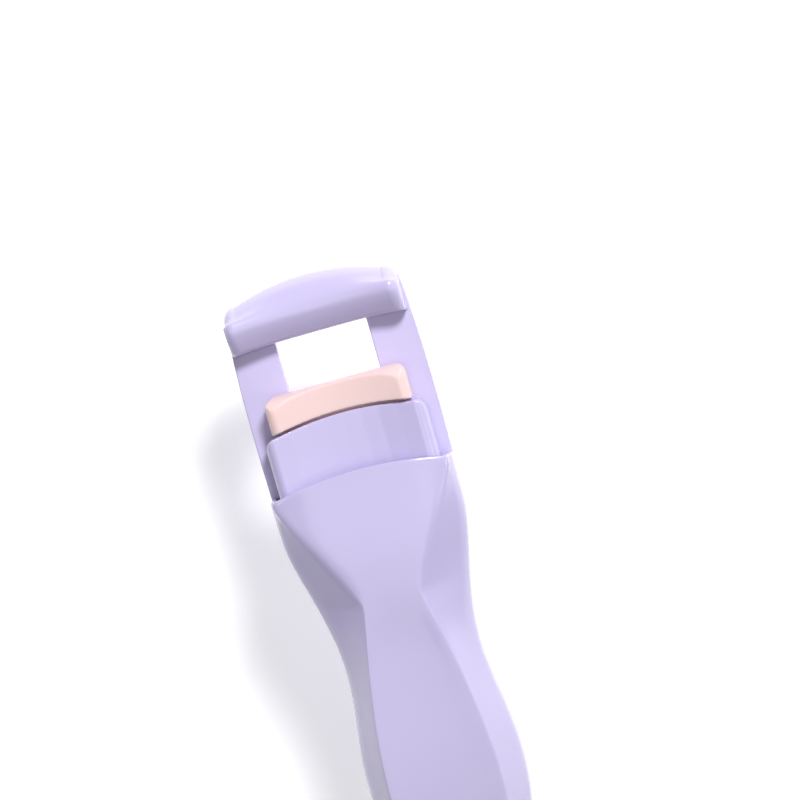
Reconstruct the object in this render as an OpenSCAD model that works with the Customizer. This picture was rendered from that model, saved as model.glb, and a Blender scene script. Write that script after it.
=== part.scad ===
// Hand-held eyelash curler. X runs across, Y along the handle with the jaws at +Y, and Z up to the
// front, which faces the eye. It lies on its back on the tip of its sprung press lever.

/* [Body] */
// Length of the whole curler
body_length = 106.9; // [100:0.1:112]
// Half width of the body at its shoulders
shoulder_half_w = 15.4; // [15:0.1:16]
// Half width of the body at its waist
waist_half_w = 11.45; // [11:0.05:12.5]
// Half width of the body at its belly
belly_half_w = 13.2; // [12.5:0.1:14.5]
// Wall thickness of the shells
wall = 1.4; // [1.2:0.1:1.5]

/* [Head] */
// Half width of the window between the arms
window_half_w = 7.7; // [7.6:0.05:8]
// Thickness of the arms
arm_t = 2.4; // [2:0.1:2.5]
// Depth of the crossbar's front above the arms, at its ends
crossbar_depth = 7; // [6:0.1:8]

/* [Motion] */
// Opening angle of the press lever at rest
lever_angle = 20; // [18:0.5:20]
// Travel of the carriage from open to closed
travel = 8; // [7:0.1:8]
// Running clearance of pins and slides
running = 0.06; // [0.03:0.01:0.1]

/* [Fasteners] */
// Radius of the lever pin and the drive pin
pin_r = 1; // [0.9:0.05:1.1]
// Radius of the screw threads
screw_r = 0.8; // [0.7:0.05:0.9]
// Radius of the screw heads
screw_head_r = 1.6; // [1.4:0.1:1.7]

/* [Hidden] */
$fn = 48;
eps = 0.02;
gap = 0.3;

// Stations along the body
rim_y = 74.4;
rim_drop = 2;
mouth_y = 63.4;
shoulder_y = 68;
kink_y = 53;
waist_y = 41.5;
belly_y = 22.5;
end_power = 2.3;
end_y = 0.05;

// Heights
parting_z = -arm_t - gap;
rear_z = -8;
side_strip = 1;

// Crossbar, carriage and pad
crossbar_half_w = 14.6;
crossbar_low = 97.2;
jaw_sagitta = 1.6;
carriage_half_w = 13.5;
carriage_front = 5.3;
carriage_top = 83.6;
carriage_low = 64.2;
carriage_rear = gap;
pad_half_w = 11.8;
pad_low = 84.1;
pad_top = 88.9;
pad_front = 5.9;
pad_rear = 1;
arm_top = 104.4;
arm_low_half_w = 15.4;
arm_high_half_w = 14.8;

// Lever, cam and stem; the cam is drawn relative to the pivot
cam_opening_y = 36.4;
pivot_y = 64;
pivot_z = -6.5;
pin_below = 20;
pin_above = 4;
neck_half_w = 5.9;
cam_half_t = 1.2;
lug_t = 1;
lever_low = 5;
lever_high = 61;
lever_in = rear_z - gap;
lever_t = 3.3;
lever_bevel = 1;
lug_out = neck_half_w + gap + lug_t;
bracket_high = 70.6;
boss_r = 3.4;
stem_r = 1.9;
stem_z = 3.2;
flange_r = 3.3;
flange_y = 48;
flange_t = 1.2;
tine_in = 1.5;
tine_out = 3.4;
guide_low = 61.6;
guide_t = 1.8;

// Spring
coils = 7;
wire_r = 0.3;
coil_r = 2.9;
coil_steps = 16;
wire_sides = 6;

// Turned at rest by the lever's opening angle, about the pivot
function opened(y, z) = [y * cos(lever_angle) - z * sin(lever_angle),
                         y * sin(lever_angle) + z * cos(lever_angle)];
lever_drop = opened(lever_low + lever_bevel - pivot_y, lever_in - lever_t - pivot_z)[1];
rest_height = -(pivot_z + lever_drop);

function ease(a, b, t) = a + (b - a) * (1 - cos(180 * min(1, max(0, t)))) / 2;
function blend(y, y0, y1, a, b) = ease(a, b, (y - y0) / (y1 - y0));
function round_end(y) = y >= belly_y ? 1
    : pow(1 - pow((belly_y - y) / belly_y, end_power), 1 / end_power);

// Half width of the body, of its front panel and of the shoulder beside the panel
function body_w(y) = y > waist_y ? blend(y, waist_y, shoulder_y, waist_half_w, shoulder_half_w)
    : blend(y, waist_y, belly_y, waist_half_w, belly_half_w) * round_end(y);
function panel_w(y) = y > kink_y ? blend(y, kink_y, 70, 4.5, 10)
    : (4.5 + 4.5 * sin(min(90, (kink_y - y) / 33 * 90))) * round_end(y);
function shoulder_w(y) = max(panel_w(y) + 0.3, 5 + 0.48 * (y - kink_y));
// Heights of the panel, of its hollow and of the side crease
function panel_z(y) = (y > 58 ? blend(y, 58, 75, 8.9, 7.8) : y > waist_y
    ? blend(y, waist_y, 58, 8.3, 8.9) : blend(y, waist_y, belly_y, 8.3, 8.6))
    * (0.35 + 0.65 * round_end(y));
function hollow(y) = 0.4 * round_end(y) * (1 - blend(y, 44, 56, 0, 1));
function crease_z(y) = blend(y, 52, 73, 2.8, 5.2) * (0.3 + 0.7 * round_end(y));
function arch(x, y) = blend(y, kink_y, 73, 0, rim_drop) * pow(x / shoulder_half_w, 2);

// Right half of the front shell's section, from the parting line to the middle
function front_half(y, t) =
    let (w = body_w(y) - t, p = max(0.6, panel_w(y) - t * 0.3), s = max(0.9, min(w - 0.7, shoulder_w(y) - t * 0.5)),
         z = panel_z(y) - t, c = crease_z(y) - t * 0.7)
    [[w, parting_z], [w, c - 1.6], [w - side_strip * 0.6, c], [(w - side_strip * 0.6 + s) / 2, (c + z - 0.2 * (s - p)) / 2 - 0.1],
     [s, z - 0.2 * (s - p)], [p, z], [p * 0.6, z - hollow(y) * 0.7], [0, z - hollow(y)]];
function rear_half(y, t) =
    let (w = body_w(y) - t, k = 0.35 + 0.65 * round_end(y))
    [[w, parting_z], [w, (rear_z + 2.2) * k + t * 0.4], [w - 0.7, (rear_z + 0.7) * k + t * 0.8],
     [max(0.4, w - 2.2), rear_z * k + t]];
function ring(half, y) = concat([for (q = half) [q[0], y - arch(q[0], y), q[1]]],
    [for (i = [len(half) - 1:-1:0]) if (half[i][0] > 0) [-half[i][0], y - arch(half[i][0], y), half[i][1]]]);

// The front's rings run the other way round, so they are reversed to face outwards
function reversed(list) = [for (i = [len(list) - 1:-1:0]) list[i]];

// Closed solid through rings of equal length
module loft(rings) {
    n = len(rings[0]);
    m = len(rings);
    polyhedron(points = [for (r = rings) each r],
        faces = concat([[for (i = [0:n - 1]) i]], [[for (i = [n - 1:-1:0]) (m - 1) * n + i]],
            [for (j = [0:m - 2], i = [0:n - 1]) [j * n + i, (j + 1) * n + i, (j + 1) * n + (i + 1) % n]],
            [for (j = [0:m - 2], i = [0:n - 1]) [j * n + i, (j + 1) * n + (i + 1) % n, j * n + (i + 1) % n]]));
}

// Stations close up towards the round end and run on evenly to the rim
function stations(low, high) = concat([for (a = [0:12:84]) low + (belly_y - low) * (1 - cos(a))],
    [for (y = [belly_y:3.2:high - 1.6]) y], [high]);

// A freely curved moulding, held as one faceted solid
module faceted() { resize([0, 0, 0]) children(); }
module placed() { translate([0, -body_length / 2, rest_height]) children(); }
module along_y(y0, y1) { translate([0, y1, 0]) rotate([90, 0, 0]) linear_extrude(y1 - y0) children(); }
module along_x(half) { rotate([90, 0, 90]) translate([0, 0, -half]) linear_extrude(2 * half) children(); }
module block(x0, x1, y0, y1, z0, z1) { translate([x0, y0, z0]) cube([x1 - x0, y1 - y0, z1 - z0]); }
module both() { children(); mirror([1, 0, 0]) children(); }
module pin_along_x(y, z, r, half) { translate([-half, y, z]) rotate([0, 90, 0]) cylinder(r = r, h = 2 * half); }

// Screw whose head lies on its seat, with the thread running up +Z
module screw(length, head_t = 0.9) {
    difference() {
        union() {
            translate([0, 0, -head_t]) cylinder(r = screw_head_r, h = head_t);
            cylinder(r = screw_r, h = length);
        }
        for (a = [0, 90]) translate([0, 0, -head_t]) rotate([0, 0, a]) cube([1.8, 0.36, 0.9], center = true);
    }
}

// Plan section of the carriage and of the mouth it slides in; grow widens it all round
module carriage_section(grow) {
    r = 1.7;
    polygon(concat(
        [[-carriage_half_w - grow, carriage_rear - grow], [carriage_half_w + grow, carriage_rear - grow]],
        [for (a = [0:15:90]) [carriage_half_w - r + (r + grow) * cos(a), carriage_front - r + (r + grow) * sin(a)]],
        [for (x = [9:-3:-9]) [x, carriage_front - jaw_sagitta * (1 - pow(x / 11.8, 2)) + grow]],
        [for (a = [90:15:180]) [-carriage_half_w + r + (r + grow) * cos(a),
                                carriage_front - r + (r + grow) * sin(a)]]));
}

frame_screw_x = 9.6;
frame_screw_y = 58;
shell_screw_y = 14;
boss_wall = 1.3;
slide_screw_x = 4.4;
slide_screw_y = 77.6;

module front_shell() {
    color("#c9bce8") faceted() difference() {
        union() {
            difference() {
                loft([for (y = stations(end_y, rim_y)) reversed(ring(front_half(y, 0), y))]);
                loft([for (y = stations(wall + 1, 66)) reversed(ring(concat(
                    [[body_w(y) - wall, parting_z - 1]], front_half(y, wall)), y))]);
            }
            translate([0, shell_screw_y, parting_z]) cylinder(r = screw_r + boss_wall, h = 10);
            both() translate([frame_screw_x, frame_screw_y, gap / 3]) cylinder(r = screw_r + boss_wall, h = 5.2);
        }
        along_y(mouth_y, rim_y + 2) carriage_section(gap);
        // Way for the stem up to where the closed carriage ends
        translate([0, mouth_y, stem_z]) rotate([-90, 0, 0]) cylinder(r = stem_r + gap, h = travel + 1.5);
        both() tang(gap / 2, parting_z - 1);
        block(-window_half_w - 1, window_half_w + 1, mouth_y, rim_y + 2, parting_z - 1, carriage_rear);
        translate([0, shell_screw_y, parting_z - 1]) cylinder(r = screw_r, h = 7);
        both() translate([frame_screw_x, frame_screw_y, -eps]) cylinder(r = screw_r, h = 4);
    }
}

module rear_shell() {
    color("#bfb1e0") faceted() difference() {
        union() {
            difference() {
                loft([for (y = stations(end_y, rim_y - rim_drop)) ring(rear_half(y, 0), y)]);
                loft([for (y = stations(wall + 1, rim_y - rim_drop - 1)) ring(concat(
                    [[body_w(y) - wall, parting_z + 1]], rear_half(y, wall)), y)]);
            }
            translate([0, shell_screw_y, rear_z + 0.8]) cylinder(r = screw_head_r + 1, h = parting_z - rear_z - 0.8);
            both() translate([frame_screw_x, frame_screw_y, rear_z + 0.4])
                cylinder(r = screw_head_r + 0.5, h = -arm_t - rear_z - 0.4);
        }
        block(-lug_out - 0.1, lug_out + 0.1, cam_opening_y, bracket_high + 0.1, rear_z - 1, 2);
        translate([0, shell_screw_y, rear_z - 1]) {
            cylinder(r = screw_r + 0.1, h = 10);
            cylinder(r = screw_head_r + 0.1, h = 2.6);
        }
        both() translate([frame_screw_x, frame_screw_y, rear_z - 1]) {
            cylinder(r = screw_r + 0.1, h = 10);
            cylinder(r = screw_head_r + 0.1, h = 2.6);
        }
    }
}

// Root of one arm inside the body
module tang(grow, low) {
    translate([0, 0, low]) linear_extrude(-low + grow) polygon([[window_half_w - grow, 54.5 - grow],
        [11.2 + grow, 54.5 - grow], [13.3 + grow, 63], [13.7 + grow, 70], [13.7 + grow, rim_y + 2],
        [window_half_w - grow, rim_y + 2]]);
}

module arm() {
    difference() {
        translate([0, 0, -arm_t]) linear_extrude(arm_t) polygon(concat(
            [[window_half_w, 54.5], [11.2, 54.5], [13.3, 63], [13.7, 70], [13.7, 72.6], [arm_low_half_w, 72.6],
             [arm_low_half_w + 0.1, 84], [arm_high_half_w, arm_top - 2.4]],
            [for (a = [15:15:90]) [arm_high_half_w - 2.4 + 2.4 * cos(a), arm_top - 2.4 + 2.4 * sin(a)]],
            [[window_half_w, arm_top]]));
        translate([frame_screw_x, frame_screw_y, -arm_t - 1]) cylinder(r = screw_r + 0.1, h = arm_t + 2);
    }
}

// Crossbar: its plan curves round the eye, its top edge is arched and its flat back stands proud of the arms
module crossbar() {
    intersection() {
        along_y(90, 112) polygon(concat(
            [[-crossbar_half_w, parting_z], [crossbar_half_w, parting_z], [crossbar_half_w, crossbar_depth - 1.6]],
            [for (a = [30:30:90]) [crossbar_half_w - 1.6 + 1.6 * cos(a), crossbar_depth - 1.6 + 1.6 * sin(a)]],
            [for (x = [11:-2.2:-11]) [x, crossbar_depth - 2.3 * (1 - pow(x / 13, 2))]],
            [for (a = [90:30:150]) [-crossbar_half_w + 1.6 + 1.6 * cos(a), crossbar_depth - 1.6 + 1.6 * sin(a)]],
            [[-crossbar_half_w, crossbar_depth - 1.6]]));
        translate([0, 0, -20]) linear_extrude(40) polygon(concat(
            [for (x = [-crossbar_half_w:crossbar_half_w / 8:crossbar_half_w])
                [x, crossbar_low - 0.5 * pow(x / crossbar_half_w, 4)]],
            [for (a = [0:30:60]) [crossbar_half_w - 2.2 + 2.2 * cos(a), arm_top - 1.8 + 2.2 * sin(a)]],
            [for (x = [11.5:-2.3:-11.5]) [x, body_length - 2 * pow(x / 11.5, 2) * 0.92]],
            [for (a = [120:30:180]) [-crossbar_half_w + 2.2 + 2.2 * cos(a), arm_top - 1.8 + 2.2 * sin(a)]]));
        // Nose of the bar, thinner at the lash edge and full above it
        along_x(30) polygon([[crossbar_low - 1, parting_z], [crossbar_low - 1, crossbar_depth - 1.2],
            [99, crossbar_depth], [104, crossbar_depth - 0.3], [106.2, crossbar_depth - 2],
            [112, crossbar_depth - 6], [112, parting_z]]);
    }
}

module head_frame() {
    color("#cabdea") union() {
        both() arm();
        crossbar();
    }
}

module frame_screws() {
    color("silver") both() translate([frame_screw_x, frame_screw_y, rear_z + 1.6]) screw(9);
}

module shell_screws() {
    color("silver") translate([0, shell_screw_y, rear_z + 1.6]) screw(9);
}

module stem_guide() {
    color("#e6e2ef") difference() {
        block(-7.2, 7.2, guide_low, guide_low + guide_t, 0, stem_z + 3.2);
        translate([0, guide_low - 1, stem_z]) rotate([-90, 0, 0]) cylinder(r = stem_r + running, h = guide_t + 2);
    }
}

// Two lugs and the bridge between them, which carry the lever's pin and the stem guide
module hinge_bracket() {
    color("silver") difference() {
        union() {
            both() block(neck_half_w + gap, lug_out, pivot_y - 3, bracket_high, rear_z, 0);
            block(-lug_out, lug_out, bracket_high - 1.1, bracket_high, rear_z, -3.4);
        }
        pin_along_x(pivot_y, pivot_z, pin_r, 20);
    }
}

module lever_pin() {
    color("silver") pin_along_x(pivot_y, pivot_z, pin_r, lug_out);
}

// Path of the drive pin as the lever sees it, so that travel stays in proportion to its angle
function cam_point(t) =
    let (y = travel * t - pin_below, a = lever_angle * t)
    [y * cos(a) - pin_above * sin(a), y * sin(a) + pin_above * cos(a)];
function cam_way(t) = let (d = cam_point(t + 0.01) - cam_point(t - 0.01)) d / norm(d);
// Points round one end of the slot, or beside the path when turned by 0
function cam_round(t, r, way, turns) = let (d = cam_way(t), n = [-d[1], d[0]])
    [for (a = turns) cam_point(t) + way * r * (cos(a) * n + sin(a) * d)];

module cam_slot() {
    r = pin_r + running;
    polygon(concat([for (i = [1:11]) cam_round(i / 12, r, 1, [0])[0]], cam_round(1, r, 1, [0:18:180]),
        [for (i = [11:-1:1]) cam_round(i / 12, r, -1, [0])[0]], cam_round(0, r, -1, [0:18:180])));
}

function lever_w(y) = (y > 38 ? blend(y, 38, lever_high, 8, 9.6) : blend(y, 38, 18, 8, 9.8))
    * (y > 16 ? 1 : sqrt(max(0, 1 - pow((16 - y) / (16 - lever_low), 2.6))));
function lever_outline(t) = let (ys = concat([for (a = [6:12:90]) 16 - (16 - lever_low - t) * cos(a)],
    [for (y = [19:4:lever_high - 2]) y]))
    concat([for (y = ys) [max(0.6, lever_w(max(y, lever_low + 0.3)) - t), y]],
        [for (i = [len(ys) - 1:-1:0]) [-max(0.6, lever_w(max(ys[i], lever_low + 0.3)) - t), ys[i]]]);

module lever() {
    color("#c3b5e4") faceted() translate([0, pivot_y, pivot_z]) difference() {
        union() {
            rotate([lever_angle, 0, 0]) translate([0, -pivot_y, -pivot_z]) difference() {
                union() {
                    translate([0, 0, lever_in - lever_t + lever_bevel]) linear_extrude(lever_t - lever_bevel)
                        polygon(lever_outline(0));
                    translate([0, 0, lever_in - lever_t]) linear_extrude(lever_bevel) polygon(lever_outline(lever_bevel));
                    block(-neck_half_w, neck_half_w, 56, pivot_y, lever_in - lever_t + lever_bevel, lever_in);
                }
                translate([0, 0, lever_in - lever_t + 1.5]) linear_extrude(lever_t) intersection() {
                    polygon(lever_outline(1.4));
                    translate([-20, 0]) square([40, 52]);
                }
            }
            pin_along_x(0, 0, boss_r, neck_half_w);
            along_x(cam_half_t) polygon([[-22.4, 2.5], [-21.9, 4.9], [-20.4, 6], [-18.4, 5.4], [-17.2, 4.6],
                [-10.4, 1.8], [-2, 2], [-2, -3.2], [-10, -6.6], [-24.5, -12]]);
        }
        pin_along_x(0, 0, pin_r + running, 20);
        along_x(cam_half_t + 1) cam_slot();
    }
}

module carriage() {
    low_y = pivot_y - pin_below;
    color("#c4b6e6") difference() {
        union() {
            intersection() {
                along_y(carriage_low, carriage_top) carriage_section(0);
                // Front outline: arched top edge with rounded corners
                translate([0, 0, -5]) linear_extrude(20) polygon(concat(
                    [[-20, carriage_low], [20, carriage_low]],
                    [for (a = [0:22.5:90]) [carriage_half_w - 2.1 + 2.1 * cos(a), carriage_top - 3.2 + 2.1 * sin(a)]],
                    [for (x = [9:-3:-9]) [x, jaw_line(x)]],
                    [for (a = [90:22.5:180]) [-carriage_half_w + 2.1 + 2.1 * cos(a), carriage_top - 3.2 + 2.1 * sin(a)]]));
            }
            // Rib that runs between the arms and carries the rear plate
            block(-window_half_w + gap, window_half_w - gap, 74, carriage_top - 1.2, parting_z, 1);
            translate([0, flange_y - flange_t, stem_z]) rotate([-90, 0, 0]) cylinder(r = flange_r, h = flange_t);
            translate([0, flange_y - 0.5, stem_z]) rotate([-90, 0, 0])
                cylinder(r = stem_r, h = carriage_low - flange_y + 1);
            difference() {
                block(-tine_out, tine_out, low_y - 2.2, flange_y - flange_t, pivot_z + pin_above - 2.2, stem_z + 2.2);
                block(-tine_in, tine_in, low_y - 3, flange_y - flange_t, pivot_z, stem_z + 3);
            }
        }
        pin_along_x(low_y, pivot_z + pin_above, pin_r, 10);
        both() translate([slide_screw_x, slide_screw_y, parting_z - 1]) cylinder(r = screw_r, h = 5);
        pad_root();
    }
}

module slide_plate() {
    color("#c4b6e6") difference() {
        translate([0, 0, parting_z - 1.4]) linear_extrude(1.4) polygon([[-12.6, 75], [-11.6, 74], [11.6, 74],
            [12.6, 75], [12.6, 81], [11, 82.4], [-11, 82.4], [-12.6, 81]]);
        both() translate([slide_screw_x, slide_screw_y, parting_z - 2]) cylinder(r = screw_r + 0.1, h = 4);
        both() translate([slide_screw_x, slide_screw_y, parting_z - 2]) cylinder(r = screw_head_r + 0.1, h = 1.2);
    }
}

module slide_screws() {
    color("silver") both() translate([slide_screw_x, slide_screw_y, parting_z - 0.8]) screw(3.6, 0.6);
}

// Arched line of the carriage's top edge
function jaw_line(x) = carriage_top - 1.1 * pow(x / 11.4, 2);

// Root of the pad, pressed into the carriage
module pad_root() { block(-10.6, 10.6, 80.6, pad_low + 0.6, 1.4, 2.9); }

module silicone_pad() {
    color("#ffd9d6") union() {
        pad_root();
        pad_body();
    }
}

module pad_body() {
    intersection() {
        along_y(pad_low - 2, pad_top) polygon(concat([[-pad_half_w, pad_rear], [pad_half_w, pad_rear]],
            [for (a = [0:30:60]) [pad_half_w - 1.5 + 1.5 * cos(a), pad_front - 1.5 + 1.5 * sin(a)]],
            [for (x = [10:-2.5:-10]) [x, pad_front - jaw_sagitta * (1 - pow(x / 10.3, 2))]],
            [for (a = [120:30:180]) [-pad_half_w + 1.5 + 1.5 * cos(a), pad_front - 1.5 + 1.5 * sin(a)]]));
        translate([0, 0, -5]) linear_extrude(20) polygon(concat(
            [for (x = [-pad_half_w:pad_half_w / 8:pad_half_w]) [x, jaw_line(x) + pad_low - carriage_top]],
            [for (a = [0:22.5:90]) [pad_half_w - 1.9 + 1.9 * cos(a), pad_top - 1.9 + 1.9 * sin(a)]],
            [for (a = [90:22.5:180]) [-pad_half_w + 1.9 + 1.9 * cos(a), pad_top - 1.9 + 1.9 * sin(a)]]));
    }
}

module drive_pin() {
    color("silver") pin_along_x(pivot_y - pin_below, pivot_z + pin_above, pin_r, tine_out);
}

// Coils close up over the last turn at each end
spring_low = flange_y + wire_r + 0.02;
spring_high = guide_low - wire_r - 0.02;
function coil_y(turn) = let (shut = 2 * wire_r + 0.06, open = spring_high - spring_low - 2 * shut)
    spring_low + (turn < 1 ? shut * turn : turn > coils - 1 ? shut + open + shut * (turn - coils + 1)
        : shut + open * (turn - 1) / (coils - 2));

module return_spring() {
    color("silver") loft([for (i = [0:coils * coil_steps]) let (turn = i / coil_steps, a = 360 * turn)
        [for (k = [0:wire_sides - 1]) let (b = -360 * k / wire_sides)
            [(coil_r + wire_r * cos(b)) * cos(a), coil_y(turn) + wire_r * sin(b),
             stem_z + (coil_r + wire_r * cos(b)) * sin(a)]]]);
}

placed() {
    front_shell();
    rear_shell();
    head_frame();
    frame_screws();
    shell_screws();
    stem_guide();
    hinge_bracket();
    lever_pin();
    lever();
    carriage();
    slide_plate();
    slide_screws();
    silicone_pad();
    drive_pin();
    return_spring();
}
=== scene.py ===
"""Eyelash curler: moulded lilac handle, arched crossbar, sliding lower jaw with a silicone pad."""
import math

import bmesh
import bpy
from mathutils import Matrix, Vector


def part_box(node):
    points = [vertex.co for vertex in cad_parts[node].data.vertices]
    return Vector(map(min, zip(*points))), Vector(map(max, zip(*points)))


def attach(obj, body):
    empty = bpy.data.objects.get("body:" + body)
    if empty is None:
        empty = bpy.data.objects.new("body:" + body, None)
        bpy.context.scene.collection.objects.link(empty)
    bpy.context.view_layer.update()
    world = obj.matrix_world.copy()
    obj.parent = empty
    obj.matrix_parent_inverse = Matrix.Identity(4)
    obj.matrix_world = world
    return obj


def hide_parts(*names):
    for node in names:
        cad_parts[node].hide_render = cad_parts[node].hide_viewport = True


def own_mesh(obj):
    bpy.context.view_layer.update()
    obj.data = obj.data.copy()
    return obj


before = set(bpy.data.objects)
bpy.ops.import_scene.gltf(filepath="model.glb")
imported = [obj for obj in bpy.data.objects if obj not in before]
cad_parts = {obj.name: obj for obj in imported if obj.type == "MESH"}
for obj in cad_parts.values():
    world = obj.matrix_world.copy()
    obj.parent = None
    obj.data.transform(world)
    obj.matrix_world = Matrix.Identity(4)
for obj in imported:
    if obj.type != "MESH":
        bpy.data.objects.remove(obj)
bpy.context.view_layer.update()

MM = 0.001
ARM_T = 2.4
FOOT_Y = 0.05
# Where the curler's own design origin (foot of the handle, front face of the arms) lies, in mm
PARTING_Z = -2.7
ORIGIN = Vector((0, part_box("front_shell")[0][1] / MM - FOOT_Y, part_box("head_frame")[0][2] / MM - PARTING_Z))

# ---------------------------------------------------------------- shape of the body, in mm
# Heights up the handle, then half widths (_W) and depths (_Z) at them
RIM_Y, RIM_DROP = 74.4, 2.0
SHOULDER_Y, KINK_Y, WAIST_Y, BELLY_Y = 68.0, 53.0, 41.5, 22.5
SHOULDER_W, WAIST_W, BELLY_W = 15.4, 11.45, 13.2
END_POWER = 2.3
REAR_Z = -8.0
SKIN_T = 0.9
ARCH_Y = 73

PANEL_TOP_Y, PANEL_TOP_W, PANEL_KINK_W = 70, 10, 4.5
PANEL_GROWTH, PANEL_GROWTH_LENGTH = 4.5, 33
PANEL_HIGH_Y, PANEL_END_Y = 58, 75
PANEL_BELLY_Z, PANEL_WAIST_Z, PANEL_HIGH_Z, PANEL_END_Z = 8.6, 8.3, 8.9, 7.8
HOLLOW_DEPTH, HOLLOW_FULL_Y, HOLLOW_NONE_Y = 0.4, 44, 56
CREASE_LOW_Y, CREASE_HIGH_Y, CREASE_LOW_Z, CREASE_HIGH_Z = 52, 73, 2.8, 5.2
SHOULDER_KINK_W, SHOULDER_SLOPE, SHOULDER_GAP = 5, 0.48, 0.3


def ease(a, b, t):
    return a + (b - a) * (1 - math.cos(math.pi * min(1, max(0, t)))) / 2


def blend(y, y0, y1, a, b):
    return ease(a, b, (y - y0) / (y1 - y0))


def round_end(y):
    """1 above the belly, falling to 0 at the foot along the handle's round end."""
    if y >= BELLY_Y:
        return 1
    return (1 - ((BELLY_Y - y) / BELLY_Y) ** END_POWER) ** (1 / END_POWER)


def thin_end(y, least):
    """As round_end, but never under least, for depths that the foot keeps part of."""
    return least + (1 - least) * round_end(y)


def body_w(y):
    if y > WAIST_Y:
        return blend(y, WAIST_Y, SHOULDER_Y, WAIST_W, SHOULDER_W)
    return blend(y, WAIST_Y, BELLY_Y, WAIST_W, BELLY_W) * round_end(y)


def panel_sharp(y):
    if y > KINK_Y:
        return blend(y, KINK_Y, PANEL_TOP_Y, PANEL_KINK_W, PANEL_TOP_W)
    turn = min(90, (KINK_Y - y) / PANEL_GROWTH_LENGTH * 90)
    return (PANEL_KINK_W + PANEL_GROWTH * math.sin(math.radians(turn))) * round_end(max(FOOT_Y, y))


def panel_w(y):
    """Half width of the front panel, with its narrowest place softened."""
    near = (-2, -1, 0, 1, 2)
    return sum(panel_sharp(y + d) for d in near) / len(near)


def shoulder_w(y):
    return max(panel_w(y) + SHOULDER_GAP, SHOULDER_KINK_W + SHOULDER_SLOPE * (y - KINK_Y))


def panel_z(y):
    if y > PANEL_HIGH_Y:
        z = blend(y, PANEL_HIGH_Y, PANEL_END_Y, PANEL_HIGH_Z, PANEL_END_Z)
    elif y > WAIST_Y:
        z = blend(y, WAIST_Y, PANEL_HIGH_Y, PANEL_WAIST_Z, PANEL_HIGH_Z)
    else:
        z = blend(y, WAIST_Y, BELLY_Y, PANEL_WAIST_Z, PANEL_BELLY_Z)
    return z * thin_end(y, 0.35)


def hollow(y):
    return HOLLOW_DEPTH * round_end(y) * (1 - blend(y, HOLLOW_FULL_Y, HOLLOW_NONE_Y, 0, 1))


def crease_z(y):
    return blend(y, CREASE_LOW_Y, CREASE_HIGH_Y, CREASE_LOW_Z, CREASE_HIGH_Z) * thin_end(y, 0.3)


def arch(x, y):
    """How far the rim, and each ring under it, drops towards its sides."""
    return blend(y, KINK_Y, ARCH_Y, 0, RIM_DROP) * (x / SHOULDER_W) ** 2


# The two half sections run from the parting line to the middle, as (x, z), at height y and set
# in by t. The small offsets in them place the corners that rounded_line then cuts.
def front_half(y, t):
    w = body_w(y) - t
    p = max(0.6, panel_w(y) - t * 0.3)
    s = max(0.9, min(w - 0.7, shoulder_w(y) - t * 0.5))
    z = panel_z(y) - t
    c = crease_z(y) - t * 0.7
    side = z - 0.2 * (s - p)
    return [(w, PARTING_Z), (w, c - 1.6), (w - 0.6, c), ((w - 0.6 + s) / 2, (c + side) / 2 - 0.1),
            (s, side), (p, z), (p * 0.6, z - hollow(y) * 0.7), (0, z - hollow(y))]


def rear_half(y, t):
    w = body_w(y) - t
    k = thin_end(y, 0.35)
    return [(w, PARTING_Z), (w, (REAR_Z + 2.2) * k + t * 0.4), (w - 0.7, (REAR_Z + 0.7) * k + t * 0.8),
            (max(0.4, w - 2.2), REAR_Z * k + t), (0, REAR_Z * k + t)]


def between(a, b, share):
    return tuple(u * (1 - share) + v * share for u, v in zip(a, b))


def rounded_line(points, rounds=3, cut=0.24):
    """Open line with its corners cut off again and again, keeping its two ends."""
    for _ in range(rounds):
        new = [points[0]]
        for a, b in zip(points, points[1:]):
            new += [between(a, b, cut), between(a, b, 1 - cut)]
        points = new + [points[-1]]
    return points


def section(half, y, t):
    right = half(y, t)
    line = rounded_line(right + [(-x, z) for x, z in reversed(right[:-1])])
    return [(x, y - arch(x, y), z) for x, z in line]


# ---------------------------------------------------------------- meshes
def mesh_object(name, verts, faces):
    mesh = bpy.data.meshes.new(name)
    mesh.from_pydata([tuple(v) for v in verts], [], faces)
    mesh.update()
    ob = bpy.data.objects.new(name, mesh)
    bpy.context.scene.collection.objects.link(ob)
    return ob


def fix_normals(ob):
    bm = bmesh.new()
    bm.from_mesh(ob.data)
    bmesh.ops.remove_doubles(bm, verts=bm.verts, dist=0.0005)
    bmesh.ops.recalc_face_normals(bm, faces=bm.faces)
    bm.to_mesh(ob.data)
    bm.free()


def applied(ob):
    """The object's mesh with its modifiers applied."""
    graph = bpy.context.evaluated_depsgraph_get()
    mesh = bpy.data.meshes.new_from_object(ob.evaluated_get(graph))
    ob.modifiers.clear()
    ob.data = mesh
    return ob


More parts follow.
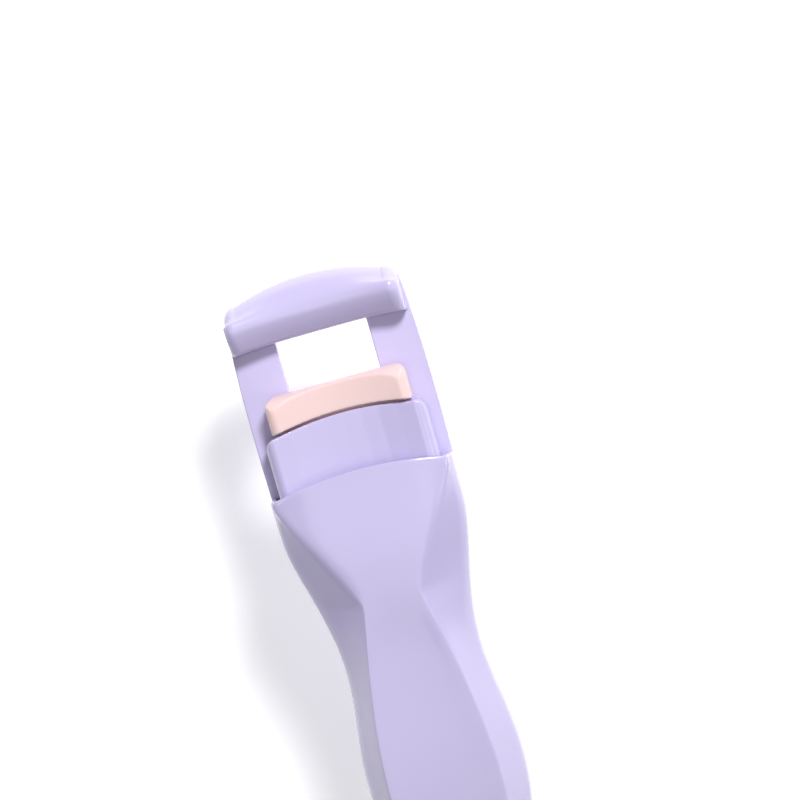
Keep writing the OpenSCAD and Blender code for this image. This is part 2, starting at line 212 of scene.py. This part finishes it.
def body_shell(name, half, top_y):
    """Closed thin shell: outside from foot to rim, over the rounded rim and back down inside."""
    ring_step, inside_foot = 0.8, 3
    foot = [FOOT_Y + (BELLY_Y - FOOT_Y) * (1 - math.cos(math.radians(a))) for a in range(0, 88, 4)]
    rise = [BELLY_Y + ring_step * i for i in range(int((top_y - 0.6 - BELLY_Y) / ring_step) + 1)]
    rim = [(0.25, 0), (0.08, 0.07), (0, 0.25), (0, SKIN_T - 0.2), (0.2, SKIN_T)]
    path = [(y, 0) for y in foot + rise]
    path += [(top_y - drop, t) for drop, t in rim]
    path += [(y, SKIN_T) for y in reversed(foot + rise) if y > inside_foot]
    rings = [section(half, y, t) for y, t in path]
    n = len(rings[0])
    verts = [v for ring in rings for v in ring]
    faces = [(j * n + i, j * n + i + 1, (j + 1) * n + i + 1, (j + 1) * n + i)
             for j in range(len(rings) - 1) for i in range(n - 1)]
    last = len(rings) - 1
    faces += [tuple(range(n)), tuple(last * n + i for i in range(n))]
    faces += [tuple(j * n for j in range(last + 1)) + tuple(j * n + n - 1 for j in range(last, -1, -1))]
    ob = mesh_object(name, verts, faces)
    fix_normals(ob)
    return ob


def prism(outline, plane, low, high):
    """Solid with an outline in plane 'xz', 'xy' or 'yz', run from low to high along the other axis."""
    place = {"xz": lambda a, b, c: (a, c, b), "xy": lambda a, b, c: (a, b, c),
             "yz": lambda a, b, c: (c, a, b)}[plane]
    n = len(outline)
    verts = [place(a, b, c) for c in (low, high) for a, b in outline]
    faces = [tuple(range(n)), tuple(range(n, 2 * n))]
    faces += [(i, (i + 1) % n, n + (i + 1) % n, n + i) for i in range(n)]
    ob = mesh_object("cutter", verts, faces)
    fix_normals(ob)
    return ob


def combine(ob, other, how):
    mod = ob.modifiers.new("combine", "BOOLEAN")
    mod.operation = how
    mod.object = other
    mod.solver = "EXACT"
    applied(ob)
    bpy.data.objects.remove(other)
    return ob


def soften(ob, voxel, rounds):
    """Evenly remeshed, with every edge rounded off as a moulding's edges are."""
    remesh = ob.modifiers.new("even", "REMESH")
    remesh.mode = "VOXEL"
    remesh.voxel_size = voxel
    smooth = ob.modifiers.new("round", "SMOOTH")
    smooth.factor = 0.5
    smooth.iterations = rounds
    return applied(ob)


def from_cad(node):
    """A copy of a CAD node's mesh in the design's millimetres."""
    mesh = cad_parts[node].data.copy()
    mesh.transform(Matrix.Translation(-ORIGIN) @ Matrix.Scale(1 / MM, 4))
    ob = bpy.data.objects.new(node + "_copy", mesh)
    bpy.context.scene.collection.objects.link(ob)
    fix_normals(ob)
    return ob


def arc(cx, cy, r, a0, a1, n=10):
    return [(cx + r * math.cos(math.radians(a0 + (a1 - a0) * i / n)),
             cy + r * math.sin(math.radians(a0 + (a1 - a0) * i / n))) for i in range(n + 1)]


def span(a, b, n):
    return [a + (b - a) * i / n for i in range(n + 1)]


def rectangle(half_w, low, high):
    return [(-half_w, low), (half_w, low), (half_w, high), (-half_w, high)]


def finish_piece(ob, name, body, slot, material, *nodes, sharp=0.7):
    """Names, scales, shades and attaches a piece; an angle of 3 for sharp leaves no edge sharp."""
    ob.name = name
    ob.data.name = name
    ob.data.transform(Matrix.Scale(MM, 4) @ Matrix.Translation(ORIGIN))
    ob.data.polygons.foreach_set("use_smooth", [True] * len(ob.data.polygons))
    ob.data.set_sharp_from_angle(angle=sharp)
    ob.data.materials.clear()
    ob.data.materials.append(material)
    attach(ob, body)
    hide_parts(*nodes)
    return ob


# ---------------------------------------------------------------- materials
def plastic(name, colour, deep, rough=0.2, coat=0.4, scatter=0.08, grain=0.015, grain_scale=2600):
    """Moulded plastic: slight cloudiness in colour and gloss, and a fine grain under the coat."""
    mat = bpy.data.materials.new(name)
    mat.use_nodes = True
    nodes, links = mat.node_tree.nodes, mat.node_tree.links
    shader = nodes["Principled BSDF"]
    coords = nodes.new("ShaderNodeTexCoord")
    flow = nodes.new("ShaderNodeTexNoise")
    flow.inputs["Scale"].default_value = 55
    flow.inputs["Detail"].default_value = 4
    ramp = nodes.new("ShaderNodeValToRGB")
    for stop, place, shade in zip(ramp.color_ramp.elements, (0.3, 0.7), (deep, colour)):
        stop.position = place
        stop.color = (*shade, 1)
    gloss = nodes.new("ShaderNodeMapRange")
    gloss.inputs["To Min"].default_value = rough * 0.8
    gloss.inputs["To Max"].default_value = rough * 1.25
    fine = nodes.new("ShaderNodeTexNoise")
    fine.inputs["Scale"].default_value = grain_scale
    fine.inputs["Detail"].default_value = 2
    bump = nodes.new("ShaderNodeBump")
    bump.inputs["Strength"].default_value = grain
    bump.inputs["Distance"].default_value = 0.0001
    links.new(coords.outputs["Object"], flow.inputs["Vector"])
    links.new(coords.outputs["Object"], fine.inputs["Vector"])
    links.new(flow.outputs["Fac"], ramp.inputs["Fac"])
    links.new(flow.outputs["Fac"], gloss.inputs["Value"])
    links.new(ramp.outputs["Color"], shader.inputs["Base Color"])
    links.new(gloss.outputs["Result"], shader.inputs["Roughness"])
    links.new(fine.outputs["Fac"], bump.inputs["Height"])
    links.new(bump.outputs["Normal"], shader.inputs["Normal"])
    shader.inputs["Coat Weight"].default_value = coat
    shader.inputs["Coat Roughness"].default_value = 0.12
    shader.inputs["Subsurface Weight"].default_value = scatter
    shader.inputs["Subsurface Radius"].default_value = (1.0, 0.8, 0.9)
    shader.inputs["Subsurface Scale"].default_value = 0.0012
    return mat


def steel(name):
    mat = plastic(name, (0.70, 0.70, 0.72), (0.60, 0.60, 0.62), rough=0.28, coat=0, scatter=0, grain=0.05)
    mat.node_tree.nodes["Principled BSDF"].inputs["Metallic"].default_value = 1
    return mat


LILAC = plastic("lilac_shell", (0.635, 0.58, 0.87), (0.62, 0.565, 0.86))
LILAC_HEAD = plastic("lilac_frame", (0.65, 0.59, 0.88), (0.635, 0.575, 0.87), rough=0.24)
PINK = plastic("pink_silicone", (0.98, 0.73, 0.72), (0.97, 0.70, 0.69), rough=0.42, coat=0, scatter=0.35,
               grain=0.06, grain_scale=1500)
GUIDE = plastic("guide_plastic", (0.80, 0.78, 0.86), (0.77, 0.75, 0.84), rough=0.4, coat=0)
STEEL = steel("steel")

# ---------------------------------------------------------------- the handle's shells
finish_piece(body_shell("front", front_half, RIM_Y), "front_shell_skin", "handle", "lilac_shell", LILAC,
             "front_shell")

# The rear shell, with the opening in its back that the lever's cam plate goes in through
CAM_OPENING_W, CAM_OPENING_LOW, CAM_OPENING_HIGH = 7.3, 36.4, 70.7
rear = body_shell("rear", rear_half, RIM_Y - RIM_DROP)
combine(rear, prism(rectangle(CAM_OPENING_W, CAM_OPENING_LOW, CAM_OPENING_HIGH), "xy", -12, -3), "DIFFERENCE")
fix_normals(rear)
finish_piece(rear, "rear_shell_skin", "handle", "lilac_shell", LILAC, "rear_shell")

# ---------------------------------------------------------------- head frame
# Arched crossbar on two flat arms
BAR_W, BAR_LOW, BAR_TOP, BAR_FRONT, ARM_TOP = 14.6, 97.2, 106.8, 6.95, 104.4
BAR_END_R, BAR_CORNER_R, BAR_CORNER_Y = 1.6, 2.2, ARM_TOP - 1.8
BAR_SAG, BAR_SAG_W = 1.3, 13
BAR_RISE, BAR_RISE_W = 1.84, 11.5
BAR_END_DROP = 0.5


def quarter(r, out):
    """Height of a quarter circle of radius r at the distance out from its middle."""
    return math.sqrt(max(0, r ** 2 - out ** 2))


def bar_section(x):
    """Section of the crossbar across its length, a full barrel nose above a leaning lash edge."""
    out = max(0, abs(x) - (BAR_W - BAR_END_R))
    front = BAR_FRONT - BAR_SAG * max(0, 1 - (x / BAR_SAG_W) ** 2) - (BAR_END_R - quarter(BAR_END_R, out))
    low = BAR_LOW - BAR_END_DROP * (x / BAR_W) ** 4
    corner = abs(x) - (BAR_W - BAR_CORNER_R)
    if corner < 0:
        top = BAR_TOP - BAR_RISE * (x / BAR_RISE_W) ** 2
    else:
        top = BAR_CORNER_Y + quarter(BAR_CORNER_R, corner)
    nose = [(low, PARTING_Z), (low, front - 3.2), (low + 0.5, front - 2.2), (low + 2.2, front - 0.9),
            (low + 4, front), (low + 5.6, front - 0.3), (top - 2, front - 1.6), (top - 0.7, front - 3),
            (top, front - 4.8), (top, PARTING_Z)]
    return [(x, y, z) for y, z in rounded_line(nose)]


def crossbar():
    rings = [bar_section(BAR_W * math.sin(math.radians(a))) for a in range(-88, 89, 2)]
    n = len(rings[0])
    verts = [v for ring in rings for v in ring]
    faces = [(j * n + i, j * n + (i + 1) % n, (j + 1) * n + (i + 1) % n, (j + 1) * n + i)
             for j in range(len(rings) - 1) for i in range(n)]
    faces += [tuple(range(n)), tuple((len(rings) - 1) * n + i for i in range(n))]
    bar = mesh_object("bar", verts, faces)
    fix_normals(bar)
    return bar


def arm(side):
    root_x, root_y, out_x, corner_r, corner_y = 7.7, 54.5, 15.5, 2.4, 102
    edge = [(root_x, root_y), (11.2, root_y), (13.3, 63), (14.3, 68), (14.4, 72.3), (15.4, 72.3), (out_x, 78)]
    edge += [(out_x - 0.68 * ((y - 84) / 18) ** 2, y) for y in span(84, corner_y, 10)]
    edge += arc(12.4, corner_y, corner_r, 0, 90) + [(root_x, ARM_TOP)]
    return prism([(side * x, y) for x, y in edge], "xy", -ARM_T, 0)


head = crossbar()
for side in (-1, 1):
    combine(head, arm(side), "UNION")
finish_piece(soften(head, 0.16, 7), "head_frame_moulding", "handle", "lilac_frame", LILAC_HEAD, "head_frame",
             sharp=3)

# ---------------------------------------------------------------- lower jaw
# JAW_SAG is how far both fronts are hollowed, and TOP_DROP how far both arched edges fall by TOP_W
JAW_W, JAW_TOP, JAW_FRONT, JAW_SAG = 13.5, 83.6, 5.3, 1.6
JAW_END_R, JAW_CORNER_R = 1.7, 2.1
TOP_DROP, TOP_W = 1.1, 11.4


def carriage():
    """Carriage: the block that shows, joined to the CAD model's rib, stem, spring seat and fork."""
    plan = [(-JAW_W, 0.3), (JAW_W, 0.3)] + arc(JAW_W - JAW_END_R, JAW_FRONT - JAW_END_R, JAW_END_R, 0, 90)
    plan += [(x, JAW_FRONT - JAW_SAG * (1 - (x / 11.8) ** 2)) for x in span(11.3, -11.3, 40)]
    plan += arc(-JAW_W + JAW_END_R, JAW_FRONT - JAW_END_R, JAW_END_R, 90, 180)
    face = [(-20, 64.2), (20, 64.2)] + arc(JAW_W - JAW_CORNER_R, JAW_TOP - 3.2, JAW_CORNER_R, 0, 85)
    face += [(x, JAW_TOP - TOP_DROP * (x / TOP_W) ** 2) for x in span(10.8, -10.8, 30)]
    face += arc(-JAW_W + JAW_CORNER_R, JAW_TOP - 3.2, JAW_CORNER_R, 95, 180)
    block = prism(plan, "xz", 60, 90)
    combine(block, prism(face, "xy", -5, 15), "INTERSECT")
    return combine(block, from_cad("carriage"), "UNION")


finish_piece(soften(carriage(), 0.16, 6), "carriage_moulding", "lower_jaw", "lilac_frame", LILAC, "carriage",
             sharp=3)


def pad():
    w, low, top, front = 11.8, 84.1, 88.9, 5.9
    end_r, corner_r, crown_r = 1.5, 1.9, 2.6
    plan = [(-w, 1), (w, 1)] + arc(w - end_r, front - end_r, end_r, 0, 90)
    plan += [(x, front - JAW_SAG * (1 - (x / 10.3) ** 2)) for x in span(10, -10, 40)]
    plan += arc(-w + end_r, front - end_r, end_r, 90, 180)
    face = [(x, low - TOP_DROP * (x / TOP_W) ** 2) for x in span(-w, w, 30)]
    face += arc(w - corner_r, top - corner_r, corner_r, 0, 90)
    face += arc(-w + corner_r, top - corner_r, corner_r, 90, 180)
    crown = [(80, 0), (80, front)] + arc(top - crown_r, front - crown_r, crown_r, 90, 0) + [(top, 0)]
    block = prism(plan, "xz", 80, 95)
    combine(block, prism(face, "xy", -5, 15), "INTERSECT")
    combine(block, prism(crown, "yz", -20, 20), "INTERSECT")
    return combine(block, prism(rectangle(10.6, 80.8, low + 0.6), "xy", 1.5, 2.8), "UNION")


soft_pad = finish_piece(soften(pad(), 0.14, 8), "silicone_pad_soft", "lower_jaw", "pink_silicone", PINK,
                        "silicone_pad", sharp=3)

# ---------------------------------------------------------------- lever, slide plate and small parts
finish_piece(soften(from_cad("lever"), 0.2, 5), "lever_moulding", "press_lever", "lilac_shell", LILAC,
             "lever", sharp=3)
finish_piece(soften(from_cad("slide_plate"), 0.14, 3), "slide_plate_moulding", "lower_jaw", "lilac_frame",
             LILAC_HEAD, "slide_plate", sharp=3)

# Coil spring under the stem guide: it stays with the handle, on a mesh of its own
spring_coil = finish_piece(from_cad("return_spring"), "return_spring_coil", "handle", "steel", STEEL,
                           "return_spring")
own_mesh(spring_coil)

# CAD nodes that show as they are, with a material and slightly bevelled edges
EDGE_BEVEL = 0.00006
for node, material in {"stem_guide": GUIDE, "hinge_bracket": STEEL, "lever_pin": STEEL, "drive_pin": STEEL,
                       "frame_screws": STEEL, "shell_screws": STEEL, "slide_screws": STEEL}.items():
    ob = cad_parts[node]
    for slot in ob.material_slots:
        slot.material = material
    edges = ob.modifiers.new("edges", "BEVEL")
    edges.width = EDGE_BEVEL
    edges.segments = 2
    edges.limit_method = "ANGLE"


# ---------------------------------------------------------------- floor, light and camera, in metres
def white_floor():
    """Sheet of paper that glows a little, so that it stays white beside the object."""
    bpy.ops.mesh.primitive_plane_add(size=6, location=(0, 0, -0.0005))
    floor = bpy.context.object
    floor.name = "floor"
    paper = bpy.data.materials.new("paper")
    paper.use_nodes = True
    look = paper.node_tree.nodes["Principled BSDF"].inputs
    look["Base Color"].default_value = (0.93, 0.93, 0.93, 1)
    look["Roughness"].default_value = 0.9
    look["Emission Color"].default_value = (1, 1, 1, 1)
    look["Emission Strength"].default_value = 0.45
    floor.data.materials.append(paper)
    return floor


HEAD_AT = (0, 0.03, 0.03)


def area(name, place, size, power):
    """Square area light that faces the curler's head."""
    data = bpy.data.lights.new(name, "AREA")
    data.energy, data.size = power, size
    ob = bpy.data.objects.new(name, data)
    bpy.context.scene.collection.objects.link(ob)
    ob.location = place
    ob.rotation_euler = (Vector(HEAD_AT) - Vector(place)).to_track_quat("-Z", "Y").to_euler()


white_floor()
area("key", (0.20, 0.32, 0.46), 0.12, 2.75)
area("left_strip", (-0.26, 0.05, 0.34), 0.035, 0.10)
area("right_strip", (0.34, -0.05, 0.30), 0.035, 0.10)
area("front_fill", (0.02, -0.05, 0.62), 0.4, 0.48)
world = bpy.data.worlds.new("studio")
world.use_nodes = True
world.node_tree.nodes["Background"].inputs["Color"].default_value = (1, 1, 1, 1)
world.node_tree.nodes["Background"].inputs["Strength"].default_value = 0.09
bpy.context.scene.world = world
bpy.context.scene.view_settings.view_transform = "Standard"

# The camera looks down on the curler as it lies on its back, at AIM_AT in the design's millimetres
AZIMUTH, ELEVATION, ROLL = (math.radians(a) for a in (4.2, 5, 15.9))
LENS, SENSOR, FIELD = 120, 36, 0.1304
AIM_AT = (9.4, 82.7, 0)
aim = (Vector(AIM_AT) + ORIGIN) * MM
toward = Vector((math.sin(AZIMUTH) * math.cos(ELEVATION), math.sin(ELEVATION),
                 math.cos(AZIMUTH) * math.cos(ELEVATION))).normalized()
across = Vector((0, 1, 0)).cross(toward).normalized()
upward = toward.cross(across)
right = math.cos(ROLL) * across - math.sin(ROLL) * upward
up = math.sin(ROLL) * across + math.cos(ROLL) * upward
camera_data = bpy.data.cameras.new("camera")
camera_data.lens, camera_data.sensor_width = LENS, SENSOR
camera_data.clip_start = 0.01
camera = bpy.data.objects.new("camera", camera_data)
bpy.context.scene.collection.objects.link(camera)
turn = Matrix((right, up, toward)).transposed().to_4x4()
camera.matrix_world = Matrix.Translation(aim + toward * FIELD * LENS / SENSOR) @ turn
bpy.context.scene.camera = camera
